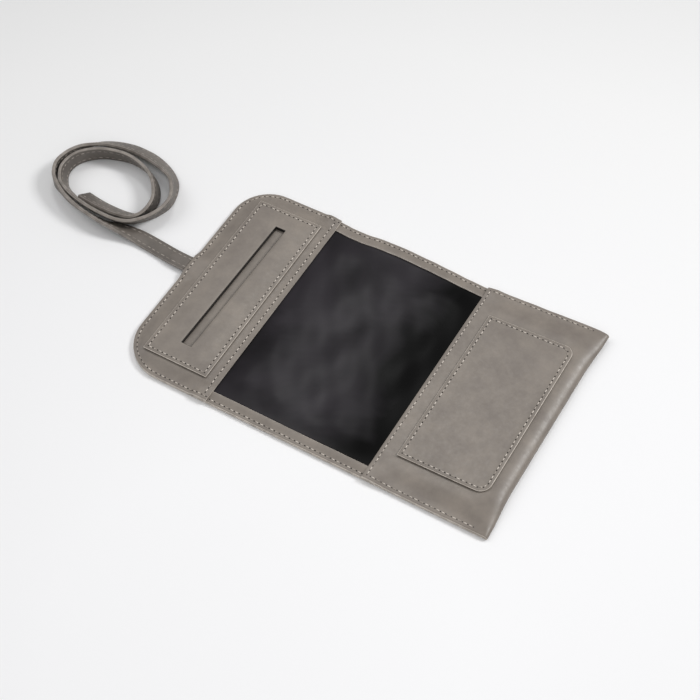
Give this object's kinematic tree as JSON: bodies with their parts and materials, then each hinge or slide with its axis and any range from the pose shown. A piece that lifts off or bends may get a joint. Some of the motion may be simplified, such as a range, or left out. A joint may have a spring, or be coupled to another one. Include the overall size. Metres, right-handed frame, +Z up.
{
  "type": "passport holder wallet",
  "caption": "Open bifold passport wallet in smooth leather with a satin lining, a flap pocket each side, a slot patch, a card pocket and a coiled tie strap.",
  "frame": {"origin": "on the table under the middle of the spine, the wallet lying open with its inside up", "axes": "+X along the open wallet towards the card pocket half, +Y along the spine, +Z up"},
  "size_m": [0.328, 0.139, 0.01],
  "materials": {
    "leather": "smooth full-grain, taupe grey, semi-matt",
    "satin": "black polyester satin, soft sheen",
    "thread": "twisted polyester sewing thread",
    "board": "bonded leather board"
  },
  "bodies": {
    "left_half": {"cover_left": "leather", "board_left": "board", "lining_left": "satin", "border_top_left": "leather", "border_bottom_left": "leather", "left_flap": "leather", "slot_patch": "leather", "left_flap_thread": "thread", "slot_patch_thread": "thread", "border_thread_left": "thread", "strap_anchor": "leather", "strap_run": "leather", "strap_coil": "leather"},
    "right_half": {"cover_right": "leather", "board_right": "board", "lining_right": "satin", "border_top_right": "leather", "border_bottom_right": "leather", "card_pocket": "leather", "right_flap_thread": "thread", "card_pocket_thread": "thread", "border_thread_right": "thread"}
  },
  "joints": [
    {"name": "spine_fold", "type": "hinge", "parent": "left_half", "child": "right_half", "pos_m": [0, 0, 0.0068], "axis": [0, -1, 0], "range_deg": [0, 180]}
  ]
}
